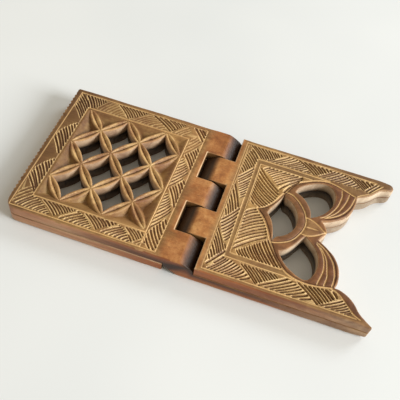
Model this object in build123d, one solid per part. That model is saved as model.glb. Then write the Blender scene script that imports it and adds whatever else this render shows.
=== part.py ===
from build123d import *
import math
import os

# Folding book stand (rehal): two interlocking leaves worked out of one board.
# Millimetres, +Z up. The stand lies folded flat on its underside. X runs from
# the latticed book panels (-X) to the feet (+X), Y is across the board.

# ---- driving dimensions -------------------------------------------------
panel_len = 171.0        # hinge axis to the free edge of the panels
leg_len = 175.0          # hinge axis to the tips of the feet
board_w = 165.0          # width of the board
board_t = 23.0           # thickness of the whole board
split = 0.6              # saw cut between the two layers
axis_z = board_t / 2     # height of the hinge axis
pocket = 15.0            # hinge axis to the pocket walls
knuckle_r = 14.3         # rolling radius of the knuckles about the axis
shoulder = 2.4           # height of the rolling radius above the axis
kerf = 1.6               # play between neighbouring knuckles
strip = board_w / 5      # pitch of the five knuckles across the board

cell_x = 21.0            # lattice unit along the board
cell_y = 23.7            # lattice unit across the board
field_x = -146.0         # first lattice node
field_y = 58.6
lens_half = 4.5          # half width of a lattice petal
node_x = 3.4             # solid left around a node, along X
node_y = 4.0             # and along Y
carve = 4.2              # depth of the closed half cells
vein = 1.1               # depth of the petal veins
line_w = 1.1             # incised frame lines
line_d = 0.7
nick_n = 30              # nicks along the free edge of the panels
nick_w = 3.0
nick_d = 0.9

shift_x = (panel_len - leg_len) / 2   # puts the origin under the middle
hw = board_w / 2
xr = leg_len

os.makedirs("parts", exist_ok=True)


# ---- plane shapes -------------------------------------------------------
def face_of(*runs):
    """A face from runs of points: two are a line, three an arc, more a spline."""
    edges = []
    for run in runs:
        if len(run) == 2:
            edges.append(Edge.make_line((*run[0], 0), (*run[1], 0)))
        elif len(run) == 3:
            edges.append(Edge.make_three_point_arc(*[Vector(x, y, 0) for x, y in run]))
        else:
            edges.append(Edge.make_spline([Vector(x, y, 0) for x, y in run]))
    return Face(Wire(edges))


def poly(*points):
    runs = [[points[i], points[(i + 1) % len(points)]] for i in range(len(points))]
    return face_of(*runs)


def prism(face, z0, z1):
    return Pos(0, 0, z0) * extrude(face, z1 - z0, dir=(0, 0, 1))


# free corners of the panels
panel_outline = face_of(
    [(-15.0, hw), (-168.8, hw)],
    [(-168.8, hw), (-170.36, hw - 0.64), (-panel_len, hw - 2.2)],
    [(-panel_len, hw - 2.2), (-169.8, -58.0)],
    [(-169.8, -58.0), (-168.6, -73.5)],
    [(-168.6, -73.5), (-165.58, -79.9), (-159.0, -hw)],
    [(-159.0, -hw), (-15.0, -hw)],
    [(-15.0, -hw), (-15.0, hw)],
)

# feet, lobes and the small pointed leaf between them
foot_far = [(141.0, 51.5), (145.0, 54.0), (148.8, 56.0), (151.9, 58.2), (154.4, 60.6),
            (156.9, 63.4), (159.4, 66.5), (162.5, 69.4), (166.0, 71.2), (169.6, 72.2),
            (172.8, 73.6), (xr - 0.237, 76.4)]
toe_far = [(xr - 0.237, 76.4), (xr - 0.876, hw - 1.925), (xr - 4.637, hw)]
lobe_far = [(113.4, 9.8), (115.6, 10.6), (120.0, 12.5), (125.0, 15.6), (130.0, 19.4),
            (135.0, 25.0), (138.6, 32.5), (140.2, 40.0), (140.8, 46.0), (141.0, 51.5)]
leaf_far = [(119.8, -0.8), (118.8, 2.2), (117.3, 5.0), (115.5, 7.7), (113.4, 9.8)]
leaf_near = [(114.2, -12.2), (115.2, -9.8), (116.6, -7.2), (118.3, -4.2), (119.8, -0.8)]
lobe_near = [(137.2, -56.0), (138.6, -51.3), (138.8, -45.0), (138.0, -38.8), (136.4, -33.1),
             (133.8, -28.1), (130.0, -23.1), (125.0, -19.0), (120.0, -15.6), (114.2, -12.2)]
foot_near = [(xr - 0.09, -80.487), (172.9, -79.3), (170.6, -78.0), (167.5, -76.4), (163.8, -74.2),
             (160.6, -71.2), (158.1, -67.5), (155.0, -63.9), (151.3, -60.8), (147.5, -58.6),
             (143.8, -57.0), (140.2, -56.0), (137.2, -56.0)]
leg_outline = face_of(
    [(15.0, hw), (xr - 4.637, hw)],
    toe_far[::-1],
    foot_far[::-1],
    lobe_far[::-1],
    leaf_far[::-1],
    leaf_near[::-1],
    lobe_near[::-1],
    foot_near[::-1],
    [(xr - 0.09, -80.487), (xr - 0.271, -81.86), (xr - 1.5, -hw)],
    [(xr - 1.5, -hw), (15.0, -hw)],
    [(15.0, -hw), (15.0, hw)],
)

hole_mid = face_of(
    [(61.0, 0.6), (62.6, 5.4), (65.0, 10.6), (67.3, 15.6), (69.4, 20.4), (71.0, 24.8), (72.0, 28.4)],
    [(72.0, 28.4), (74.6, 23.6), (79.5, 21.6), (84.0, 17.4), (87.6, 11.9), (89.7, 6.2),
     (90.4, 0.4), (89.7, -6.2), (87.6, -11.9), (84.0, -16.9), (79.5, -20.6), (75.4, -23.0), (72.4, -28.0)],
    [(72.4, -28.0), (71.8, -22.4), (70.1, -15.6), (68.0, -9.6), (65.2, -4.6), (61.0, 0.6)],
)
hole_far = face_of(
    [(81.6, 34.6), (82.4, 38.2), (84.4, 41.8), (87.2, 44.9), (90.8, 47.8), (95.0, 50.6),
     (99.8, 53.2), (104.6, 54.9), (109.6, 55.3), (114.0, 53.9), (117.4, 50.4), (119.7, 45.4),
     (120.4, 40.0), (120.0, 34.8), (118.6, 29.6), (116.2, 24.6), (113.2, 19.8), (109.6, 15.8),
     (105.6, 12.6), (101.4, 10.2)],
    [(101.4, 10.2), (100.6, 15.2), (98.4, 20.6), (95.0, 25.6), (91.0, 29.8), (86.4, 32.8), (81.6, 34.6)],
)
hole_near = face_of(
    [(101.4, -12.4), (104.6, -15.2), (108.0, -18.0), (111.4, -21.4), (114.4, -25.6), (116.4, -30.2),
     (117.6, -35.2), (117.9, -40.2), (117.5, -45.0), (116.4, -49.6), (114.4, -54.2), (111.2, -57.6),
     (107.0, -58.0), (102.0, -56.4), (97.0, -53.8), (92.4, -51.0), (88.4, -47.6), (85.2, -43.8),
     (82.8, -40.2), (81.4, -37.0)],
    [(81.4, -37.0), (85.4, -34.8), (89.2, -31.2), (92.6, -26.6), (95.8, -21.2), (98.8, -16.0), (101.4, -12.4)],
)


def node(u, v):
    return field_x + cell_x * u, field_y - cell_y * v


def lattice_hole(u, v):
    """Curved diamond between four petals."""
    cx, cy = node(u, v)
    ax, ay = cell_x - node_x, cell_y - node_y
    d = lens_half / math.hypot(cell_x, cell_y)
    mx, my = cell_x / 2 - d * cell_y, cell_y / 2 - d * cell_x
    pts = [(cx, cy + ay), (cx + ax, cy), (cx, cy - ay), (cx - ax, cy)]
    mids = [(cx + mx, cy + my), (cx + mx, cy - my), (cx - mx, cy - my), (cx - mx, cy + my)]
    edges = [Edge.make_three_point_arc((*pts[i], 0), (*mids[i], 0), (*pts[(i + 1) % 4], 0)) for i in range(4)]
    return Face(Wire(edges))


holes = [(u, v) for u in range(1, 5) for v in range(1, 5) if (u + v) % 2]


def half_cells():
    """Triangles closed against the frame, where the petals meet the border."""
    out = []
    for u in (1, 3):
        cx, cy = node(u, 0)
        out.append([(cx - cell_x + 5.5, cy - 2.6), (cx + cell_x - 5.5, cy - 2.6), (cx, cy - cell_y + 10.5)])
    for u in (2, 4):
        cx, cy = node(u, 5)
        out.append([(cx - cell_x + 5.5, cy + 2.6), (cx, cy + cell_y - 10.5), (cx + cell_x - 5.5, cy + 2.6)])
    for v in (1, 3):
        cx, cy = node(0, v)
        out.append([(cx + 2.2, cy + cell_y - 6.5), (cx + 2.2, cy - cell_y + 6.5), (cx + cell_x - 9.5, cy)])
    for v in (2, 4):
        cx, cy = node(5, v)
        out.append([(cx - 2.2, cy + cell_y - 6.5), (cx - cell_x + 9.5, cy), (cx - 2.2, cy - cell_y + 6.5)])
    return out


def petals():
    """Node pairs joined by a petal."""
    out = []
    for u in range(5):
        for v in range(5):
            if (u + v) % 2 == 0:
                out.append((node(u, v), node(u + 1, v + 1)))
            else:
                out.append((node(u, v + 1), node(u + 1, v)))
    return out


# ---- carving tools, made at z = 0 pointing down -------------------------
def groove(p, q, width, depth, inset):
    """V groove with pointed ends between two points."""
    length = math.dist(p, q)
    ux, uy = (q[0] - p[0]) / length, (q[1] - p[1]) / length
    a = (p[0] + ux * inset, p[1] + uy * inset)
    b = (q[0] - ux * inset, q[1] - uy * inset)
    m = ((a[0] + b[0]) / 2, (a[1] + b[1]) / 2)
    w = width / 2
    top = [Vector(a[0], a[1], 0.0), Vector(m[0] - uy * w, m[1] + ux * w, 0.0),
           Vector(b[0], b[1], 0.0), Vector(m[0] + uy * w, m[1] - ux * w, 0.0)]
    low = Vector(m[0], m[1], -depth)
    faces = [Face(Wire.make_polygon(top, close=True))]
    for i in range(4):
        faces.append(Face(Wire.make_polygon([top[i], top[(i + 1) % 4], low], close=True)))
    return Solid(Shell(faces))


def frame_line(x0, y0, x1, y1):
    """Rectangular incised line on the face."""
    outer = Pos((x0 + x1) / 2, (y0 + y1) / 2) * Rectangle(abs(x1 - x0) + line_w, abs(y1 - y0) + line_w)
    inner = Pos((x0 + x1) / 2, (y0 + y1) / 2) * Rectangle(abs(x1 - x0) - line_w, abs(y1 - y0) - line_w)
    return extrude(outer - inner, line_d, dir=(0, 0, -1))


def bar(x0, y0, x1, y1, depth):
    return Pos((x0 + x1) / 2, (y0 + y1) / 2, -depth / 2) * Box(abs(x1 - x0), abs(y1 - y0), depth)


def panel_tools():
    tools = [frame_line(-164.6, -79.2, -22.6, 77.4), frame_line(-149.4, -62.9, -37.6, 60.2)]
    for tri in half_cells():
        tools.append(Pos(0, 0, -carve) * extrude(poly(*tri), carve, dir=(0, 0, 1)))
    for p, q in petals():
        tools.append(groove(p, q, 2.0, vein, 2.0))
    return tools


def leg_tools():
    return [
        bar(20.1, -79.8, 21.2, 77.6, line_d),
        bar(21.2, -79.8, 158.0, -78.7, line_d),
        bar(21.2, 76.5, 158.0, 77.6, line_d),
        bar(35.4, -60.4, 39.6, 61.4, line_d),
        bar(39.6, 56.4, 88.0, 61.4, line_d),
        bar(39.6, -60.4, 86.0, -55.2, line_d),
    ]


def on_top(tools):
    return [Pos(0, 0, board_t) * t for t in tools]


def on_underside(tools):
    """The same pattern read through the board, cut into its underside."""
    return [mirror(t, about=Plane.XY) for t in tools]


# ---- layers -------------------------------------------------------------
def panel_layer(z0, z1):
    s = prism(panel_outline, z0, z1)
    cuts = [prism(lattice_hole(u, v), z0 - 1, z1 + 1) for u, v in holes]
    pitch = (board_w - 26.0) / (nick_n - 1)
    for i in range(nick_n):
        y = hw - 9.0 - pitch * i
        x = -panel_len + (hw - y) * (1.2 / 140.0)
        tri = poly((x - 1.0, y - nick_w / 2 - 0.8), (x + nick_d, y), (x - 1.0, y + nick_w / 2 + 0.8))
        cuts.append(prism(tri, z0 - 1, z1 + 1))
    return s - cuts


def leg_layer(z0, z1):
    s = prism(leg_outline, z0, z1)
    return s - [prism(h, z0 - 1, z1 + 1) for h in (hole_mid, hole_far, hole_near)]


# ---- knuckles -----------------------------------------------------------
def knuckle(y0, y1, flip):
    """Section through one knuckle; flip swaps the layers it ties together."""
    half_gap = split / 2
    top = axis_z
    bevel = [(0.0, top), (5.0, top - 1.8), (10.0, top - 5.2)]
    sx = math.sqrt(knuckle_r ** 2 - shoulder ** 2)
    pts = []

    def p(x, z):
        return Vector(x, 0, (z if not flip else -z))

    up = [p(*b) for b in bevel] + [p(sx, shoulder)]
    dn = [p(-b[0], -b[1]) for b in bevel] + [p(-sx, -shoulder)]
    mid_a = math.asin(shoulder / knuckle_r) / 2
    edges = [
        Edge.make_line(p(-pocket, half_gap), p(-pocket, top)),
        Edge.make_line(p(-pocket, top), p(0, top)),
        Edge.make_spline(up),
        Edge.make_three_point_arc(p(sx, shoulder),
                                  p(knuckle_r * math.cos(mid_a), knuckle_r * math.sin(mid_a)),
                                  p(knuckle_r, 0)),
        Edge.make_line(p(knuckle_r, 0), p(pocket, -half_gap)),
        Edge.make_line(p(pocket, -half_gap), p(pocket, -top)),
        Edge.make_line(p(pocket, -top), p(0, -top)),
        Edge.make_spline(dn),
        Edge.make_three_point_arc(p(-sx, -shoulder),
                                  p(-knuckle_r * math.cos(mid_a), -knuckle_r * math.sin(mid_a)),
                                  p(-knuckle_r, 0)),
        Edge.make_line(p(-knuckle_r, 0), p(-pocket, half_gap)),
    ]
    section = Face(Wire(edges))
    return Pos(0, y0, axis_z) * extrude(section, y1 - y0, dir=(0, 1, 0))


def strip_span(i):
    """Y range of strip i counted from the near edge, with the play taken off."""
    y0 = -hw + strip * i + (kerf / 2 if i > 0 else 0)
    y1 = -hw + strip * (i + 1) - (kerf / 2 if i < 4 else 0)
    return y0, y1


low = (0.0, axis_z - split / 2)
high = (axis_z + split / 2, board_t)

front = panel_layer(*high) + leg_layer(*low)
for i in (0, 2, 4):
    front = front + knuckle(*strip_span(i), flip=False)
front = front - on_top(panel_tools())
front = front - on_underside(leg_tools())

back = panel_layer(*low) + leg_layer(*high)
for i in (1, 3):
    back = back + knuckle(*strip_span(i), flip=True)
back = back - on_underside(panel_tools())
back = back - on_top(leg_tools())

# ---- output -------------------------------------------------------------
for name, shape in (("front_leaf", front), ("back_leaf", back)):
    shape = Pos(shift_x, 0, 0) * shape
    solids = shape.solids()
    solids.sort(key=lambda s: s.volume, reverse=True)
    body = solids[0]
    body.label = name
    bb = body.bounding_box()
    print(name, "solids", len(solids), "volume", round(body.volume), "box", bb.min, bb.max)
    export_step(body, f"parts/{name}.step")
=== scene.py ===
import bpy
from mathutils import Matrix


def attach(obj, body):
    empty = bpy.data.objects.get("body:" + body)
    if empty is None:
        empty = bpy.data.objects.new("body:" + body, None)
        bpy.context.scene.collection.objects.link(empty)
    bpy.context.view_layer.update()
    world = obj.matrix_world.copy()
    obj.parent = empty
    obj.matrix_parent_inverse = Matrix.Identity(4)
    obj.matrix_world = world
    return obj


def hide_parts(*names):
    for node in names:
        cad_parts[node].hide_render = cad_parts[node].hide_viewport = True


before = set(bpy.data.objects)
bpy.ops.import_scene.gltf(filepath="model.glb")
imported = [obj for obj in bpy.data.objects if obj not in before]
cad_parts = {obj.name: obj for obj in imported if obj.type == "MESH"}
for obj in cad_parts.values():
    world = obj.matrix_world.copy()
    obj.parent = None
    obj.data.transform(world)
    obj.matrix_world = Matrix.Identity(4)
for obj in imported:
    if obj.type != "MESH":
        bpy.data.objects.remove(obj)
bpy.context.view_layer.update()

import math
import bpy
import numpy as np
from mathutils import Matrix, Vector

# All carving sizes below are millimetres measured from the hinge axis, X along
# the board, Y across it. The row frame is metres with its origin under the
# middle of the board.
SHIFT_X = -2.0
TOP = 23.0
AXIS_Z = 11.5
GAP = 0.3
POCKET = 15.0
HW = 82.5
STRIP = 33.0
KERF = 1.6
STEP = 0.5
rng = np.random.default_rng(7)


def srgb(r, g, b):
    out = []
    for c in (r, g, b):
        c = c / 255.0
        out.append(c / 12.92 if c <= 0.04045 else ((c + 0.055) / 1.055) ** 2.4)
    return (*out, 1.0)


# ---------------------------------------------------------------- outlines
def smooth(points, n=6):
    """Catmull-Rom through the points."""
    p = np.array(points, float)
    e = np.vstack([2 * p[0] - p[1], p, 2 * p[-1] - p[-2]])
    out = []
    for i in range(len(p) - 1):
        a, b, c, d = e[i], e[i + 1], e[i + 2], e[i + 3]
        for k in range(n):
            t = k / n
            out.append(0.5 * ((2 * b) + (c - a) * t + (2 * a - 5 * b + 4 * c - d) * t * t
                              + (3 * b - a - 3 * c + d) * t ** 3))
    out.append(p[-1])
    return np.array(out)


def arc(cx, cy, r, a0, a1, n=8):
    t = np.radians(np.linspace(a0, a1, n))
    return np.stack([cx + r * np.cos(t), cy + r * np.sin(t)], 1)


FOOT_FAR = [(141.0, 51.5), (145.0, 54.0), (148.8, 56.0), (151.9, 58.2), (154.4, 60.6),
            (156.9, 63.4), (159.4, 66.5), (162.5, 69.4), (166.0, 71.2), (169.6, 72.2),
            (172.8, 73.6), (174.76, 76.4)]
LOBE_FAR = [(113.4, 9.8), (115.6, 10.6), (120.0, 12.5), (125.0, 15.6), (130.0, 19.4),
            (135.0, 25.0), (138.6, 32.5), (140.2, 40.0), (140.8, 46.0), (141.0, 51.5)]
LEAF_FAR = [(119.8, -0.8), (118.8, 2.2), (117.3, 5.0), (115.5, 7.7), (113.4, 9.8)]
LEAF_NEAR = [(114.2, -12.2), (115.2, -9.8), (116.6, -7.2), (118.3, -4.2), (119.8, -0.8)]
LOBE_NEAR = [(137.2, -56.0), (138.6, -51.3), (138.8, -45.0), (138.0, -38.8), (136.4, -33.1),
             (133.8, -28.1), (130.0, -23.1), (125.0, -19.0), (120.0, -15.6), (114.2, -12.2)]
FOOT_NEAR = [(174.91, -80.487), (172.9, -79.3), (170.6, -78.0), (167.5, -76.4), (163.8, -74.2),
             (160.6, -71.2), (158.1, -67.5), (155.0, -63.9), (151.3, -60.8), (147.5, -58.6),
             (143.8, -57.0), (140.2, -56.0), (137.2, -56.0)]
HOLE_MID = [
    [(61.0, 0.6), (62.6, 5.4), (65.0, 10.6), (67.3, 15.6), (69.4, 20.4), (71.0, 24.8), (72.0, 28.4)],
    [(72.0, 28.4), (74.6, 23.6), (79.5, 21.6), (84.0, 17.4), (87.6, 11.9), (89.7, 6.2),
     (90.4, 0.4), (89.7, -6.2), (87.6, -11.9), (84.0, -16.9), (79.5, -20.6), (75.4, -23.0), (72.4, -28.0)],
    [(72.4, -28.0), (71.8, -22.4), (70.1, -15.6), (68.0, -9.6), (65.2, -4.6), (61.0, 0.6)]]
HOLE_FAR = [
    [(81.6, 34.6), (82.4, 38.2), (84.4, 41.8), (87.2, 44.9), (90.8, 47.8), (95.0, 50.6),
     (99.8, 53.2), (104.6, 54.9), (109.6, 55.3), (114.0, 53.9), (117.4, 50.4), (119.7, 45.4),
     (120.4, 40.0), (120.0, 34.8), (118.6, 29.6), (116.2, 24.6), (113.2, 19.8), (109.6, 15.8),
     (105.6, 12.6), (101.4, 10.2)],
    [(101.4, 10.2), (100.6, 15.2), (98.4, 20.6), (95.0, 25.6), (91.0, 29.8), (86.4, 32.8), (81.6, 34.6)]]
HOLE_NEAR = [
    [(101.4, -12.4), (104.6, -15.2), (108.0, -18.0), (111.4, -21.4), (114.4, -25.6), (116.4, -30.2),
     (117.6, -35.2), (117.9, -40.2), (117.5, -45.0), (116.4, -49.6), (114.4, -54.2), (111.2, -57.6),
     (107.0, -58.0), (102.0, -56.4), (97.0, -53.8), (92.4, -51.0), (88.4, -47.6), (85.2, -43.8),
     (82.8, -40.2), (81.4, -37.0)],
    [(81.4, -37.0), (85.4, -34.8), (89.2, -31.2), (92.6, -26.6), (95.8, -21.2), (98.8, -16.0), (101.4, -12.4)]]


def joined(*runs):
    out = []
    for r in runs:
        r = np.array(r, float)
        out.append(r[:-1])
    return np.vstack(out)


board = joined(
    [(-168.8, HW), (170.363, HW)],
    arc(170.363, 77.863, 4.637, 90, -18.4),
    smooth(FOOT_FAR[::-1]), smooth(LOBE_FAR[::-1]), smooth(LEAF_FAR[::-1]), smooth(LEAF_NEAR[::-1]),
    smooth(LOBE_NEAR[::-1]), smooth(FOOT_NEAR[::-1]),
    arc(173.5, -81.0, 1.5, 20, -90), [(173.5, -HW), (-159.0, -HW)],
    arc(-159.0, -72.88, 9.62, -90, -183.7),
    [(-168.6, -73.5), (-169.8, -58.0), (-171.0, 80.3)],
    arc(-168.8, 80.3, 2.2, 180, 90))
holes_leg = [joined(*[smooth(r) for r in h]) for h in (HOLE_MID, HOLE_FAR, HOLE_NEAR)]

CX, CY, FX, FY = 21.0, 23.7, -146.0, 58.6


def node(u, v):
    return np.array([FX + CX * u, FY - CY * v])


def three_point(a, m, b, n=9):
    """Points of the arc a-m-b, without b."""
    a, m, b = map(np.array, (a, m, b))
    ax, ay, mx, my, bx, by = *a, *m, *b
    d = 2 * (ax * (my - by) + mx * (by - ay) + bx * (ay - my))
    ux = ((ax ** 2 + ay ** 2) * (my - by) + (mx ** 2 + my ** 2) * (by - ay) + (bx ** 2 + by ** 2) * (ay - my)) / d
    uy = ((ax ** 2 + ay ** 2) * (bx - mx) + (mx ** 2 + my ** 2) * (ax - bx) + (bx ** 2 + by ** 2) * (mx - ax)) / d
    c = np.array([ux, uy])
    r = np.linalg.norm(a - c)
    t0 = math.atan2(*(a - c)[::-1])
    t1 = math.atan2(*(b - c)[::-1])
    dt = (t1 - t0 + math.pi) % (2 * math.pi) - math.pi
    t = t0 + dt * np.arange(n) / n
    return np.stack([c[0] + r * np.cos(t), c[1] + r * np.sin(t)], 1)


LENS = 4.5
holes_panel = []
for u in range(1, 5):
    for v in range(1, 5):
        if (u + v) % 2:
            cx, cy = node(u, v)
            ax, ay = CX - 3.4, CY - 4.0
            d = LENS / math.hypot(CX, CY)
            mx, my = CX / 2 - d * CY, CY / 2 - d * CX
            pts = [(cx, cy + ay), (cx + ax, cy), (cx, cy - ay), (cx - ax, cy)]
            mids = [(cx + mx, cy + my), (cx + mx, cy - my), (cx - mx, cy - my), (cx - mx, cy + my)]
            holes_panel.append(np.vstack([three_point(pts[i], mids[i], pts[(i + 1) % 4]) for i in range(4)]))

# ---------------------------------------------------------------- the grid
XS = np.arange(-172.5, 176.51, STEP)
YS = np.arange(-84.0, 84.01, STEP)
NX, NY = len(XS), len(YS)
GX, GY = np.meshgrid(XS, YS, indexing="ij")
FAR = 14.0


def window(x0, x1, y0, y1, m=0.0):
    i0 = max(0, int(math.floor((x0 - m - XS[0]) / STEP)))
    i1 = min(NX, int(math.ceil((x1 + m - XS[0]) / STEP)) + 1)
    j0 = max(0, int(math.floor((y0 - m - YS[0]) / STEP)))
    j1 = min(NY, int(math.ceil((y1 + m - YS[0]) / STEP)) + 1)
    return slice(i0, i1), slice(j0, j1)


def seg_dist(px, py, a, b):
    dx, dy = b[0] - a[0], b[1] - a[1]
    l2 = dx * dx + dy * dy + 1e-12
    t = np.clip(((px - a[0]) * dx + (py - a[1]) * dy) / l2, 0, 1)
    return np.hypot(px - a[0] - t * dx, py - a[1] - t * dy), t


def signed(poly):
    """Distance to a closed polygon on the grid, positive inside, capped at FAR."""
    dist = np.full((NX, NY), FAR)
    inside = np.zeros((NX, NY), bool)
    n = len(poly)
    for k in range(n):
        a, b = poly[k], poly[(k + 1) % n]
        w = window(min(a[0], b[0]), max(a[0], b[0]), min(a[1], b[1]), max(a[1], b[1]), FAR)
        d, _ = seg_dist(GX[w], GY[w], a, b)
        dist[w] = np.minimum(dist[w], d)
        lo, hi = (a, b) if a[1] < b[1] else (b, a)
        if hi[1] - lo[1] < 1e-12:
            continue
        j0 = int(math.ceil((lo[1] - YS[0]) / STEP))
        j1 = int(math.ceil((hi[1] - YS[0]) / STEP))
        for j in range(max(j0, 0), min(j1, NY)):
            xc = lo[0] + (hi[0] - lo[0]) * (YS[j] - lo[1]) / (hi[1] - lo[1])
            i = int(math.floor((xc - XS[0]) / STEP)) + 1
            if i > 0:
                inside[:min(i, NX), j] ^= True
    return np.where(inside, dist, -dist)


def blur(a, sigma):
    """Three box passes, close to a Gaussian of that width in millimetres."""
    r = max(1, int(round(sigma / STEP * 0.87)))
    out = a.astype(float)
    k = 2 * r + 1
    for _ in range(3):
        for ax in (0, 1):
            pad = [(0, 0), (0, 0)]
            pad[ax] = (r + 1, r)
            c = np.cumsum(np.pad(out, pad, mode="edge"), axis=ax)
            n = out.shape[ax]
            hi = np.take(c, np.arange(k, k + n), axis=ax)
            lo = np.take(c, np.arange(0, n), axis=ax)
            out = (hi - lo) / k
    return out


def value_noise(scale_x, scale_y, seed):
    """Smooth noise on the grid, about -1 to 1."""
    r = np.random.default_rng(seed)
    nx, ny = int((XS[-1] - XS[0]) / scale_x) + 4, int((YS[-1] - YS[0]) / scale_y) + 4
    g = r.uniform(-1, 1, (nx, ny))
    fx = (XS - XS[0]) / scale_x + 0.5
    fy = (YS - YS[0]) / scale_y + 0.5
    ix, iy = fx.astype(int), fy.astype(int)
    tx, ty = fx - ix, fy - iy
    tx, ty = tx * tx * (3 - 2 * tx), ty * ty * (3 - 2 * ty)
    a = g[ix][:, iy] * (1 - tx)[:, None] + g[ix + 1][:, iy] * tx[:, None]
    b = g[ix][:, iy + 1] * (1 - tx)[:, None] + g[ix + 1][:, iy + 1] * tx[:, None]
    return a * (1 - ty)[None, :] + b * ty[None, :]


# ---------------------------------------------------------------- carving
class Carving:
    """Depth of the cuts plus what the paint needs: flutes, where they are, and single lines."""

    def __init__(self):
        self.h = np.zeros((NX, NY))
        self.flute = np.zeros((NX, NY))
        self.area = np.zeros((NX, NY))
        self.line = np.zeros((NX, NY))
        self.vein = np.zeros((NX, NY))
        self.petal = np.zeros((NX, NY))


def cut_line(c, pts, half, depth, taper=0.0, kind="line", strength=1.0, power=1.0):
    """V cut along a polyline, deepening the depth map."""
    pts = np.array(pts, float)
    seg = np.hypot(*np.diff(pts, axis=0).T)
    total = seg.sum()
    run = np.concatenate([[0], np.cumsum(seg)])
    for k in range(len(pts) - 1):
        a, b = pts[k], pts[k + 1]
        w = window(min(a[0], b[0]), max(a[0], b[0]), min(a[1], b[1]), max(a[1], b[1]), half * 1.4 + STEP)
        d, t = seg_dist(GX[w], GY[w], a, b)
        s = 1.0
        if taper > 0:
            u = run[k] + t * seg[k]
            s = np.clip(np.minimum(u, total - u) / taper, 0.15, 1.0) ** 0.6
        v = np.clip(1 - d / (half * s), 0, 1)
        c.h[w] = np.maximum(c.h[w], depth * s * v ** power)
        if kind == "groove":
            c.flute[w] = np.maximum(c.flute[w], v * strength)
        elif kind == "flute":
            c.flute[w] = np.maximum(c.flute[w], v * strength)
            c.area[w] = np.maximum(c.area[w], np.clip((1.38 * half * s - d) / 0.35, 0, 1) * strength)
        else:
            c.line[w] = np.maximum(c.line[w], v * strength)


def bowed(p, q, bulge, n=8):
    p, q = np.array(p, float), np.array(q, float)
    t = np.linspace(0, 1, n + 1)[:, None]
    d = q - p
    nrm = np.array([-d[1], d[0]]) / (np.hypot(*d) + 1e-9)
    length = np.hypot(*d)
    amp = bulge * min(1.0, length / 14.0)
    return p + d * t + nrm * (amp * 4 * t * (1 - t))


def beside(pts, d):
    """The polyline moved d to its left."""
    p = np.array(pts, float)
    t = np.gradient(p, axis=0)
    t /= np.hypot(*t.T)[:, None]
    return p + d * np.stack([-t[:, 1], t[:, 0]], 1)


def inside(poly, x, y):
    r = np.zeros(np.shape(x), bool)
    for k in range(len(poly)):
        (x0, y0), (x1, y1) = poly[k], poly[(k + 1) % len(poly)]
        if y0 != y1:
            r ^= ((y0 > y) != (y1 > y)) & (x < (x1 - x0) * (y - y0) / (y1 - y0) + x0)
    return r


def fan(c, poly, *keys, pitch=2.6, bulge=0.9, depth=1.0, margin=0.15, jitter=0.12):
    """Flutes side by side through the key strokes (x0, y0, x1, y1), cut off at the polygon."""
    keys = [np.array(k, float) for k in keys]
    strokes = [keys[0]]
    for a, b in zip(keys[:-1], keys[1:]):
        d = (a[2:] - a[:2]) / np.hypot(*(a[2:] - a[:2])) + (b[2:] - b[:2]) / np.hypot(*(b[2:] - b[:2]))
        n = np.array([-d[1], d[0]]) / np.hypot(*d)
        gap = abs(np.dot((b[:2] + b[2:] - a[:2] - a[2:]) / 2, n))
        k = max(1, int(round(gap / pitch)))
        strokes += [a + (b - a) * (i / k) for i in range(1, k + 1)]
    mids = [(q[:2] + q[2:]) / 2 for q in strokes]
    for i, q in enumerate(strokes):
        d = q[2:] - q[:2]
        length = np.hypot(*d)
        n = np.array([-d[1], d[0]]) / length
        gaps = [abs(np.dot(mids[k] - mids[i], n)) for k in (i - 1, i + 1) if 0 <= k < len(strokes)]
        half = float(np.clip(0.50 * np.mean(gaps), 0.8, 1.6)) if gaps else 1.15
        t = np.linspace(-0.12, 1.12, 64)[:, None]
        pts = q[:2] + d * t + n * (bulge * min(1.0, length / 14.0) * 4 * t * (1 - t)) + rng.normal(0, jitter, 2)
        ok = inside(poly, pts[:, 0], pts[:, 1])
        for k in range(len(poly)):
            e, _ = seg_dist(pts[:, 0], pts[:, 1], poly[k], poly[(k + 1) % len(poly)])
            ok &= e > margin
        best, run = (0, 0), 0
        for k in range(len(ok) + 1):
            if k < len(ok) and ok[k]:
                run += 1
            else:
                if run > best[1] - best[0]:
                    best = (k - run, k)
                run = 0
        pts = pts[best[0]:best[1]]
        if len(pts) < 3 or np.hypot(*(pts[-1] - pts[0])) < 1.6:
            continue
        pts = pts[np.linspace(0, len(pts) - 1, max(2, min(9, len(pts)))).round().astype(int)]
        cut_line(c, pts, half * (1 + rng.normal(0, 0.04)), depth * 0.95 * half * (1 + rng.normal(0, 0.07)),
                 taper=1.1, kind="flute", strength=min(1.0, 0.25 + 0.75 * depth), power=0.8)


def box_line(x0, y0, x1, y1):
    return [(x0, y0), (x1, y0), (x1, y1), (x0, y1), (x0, y0)]


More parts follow.
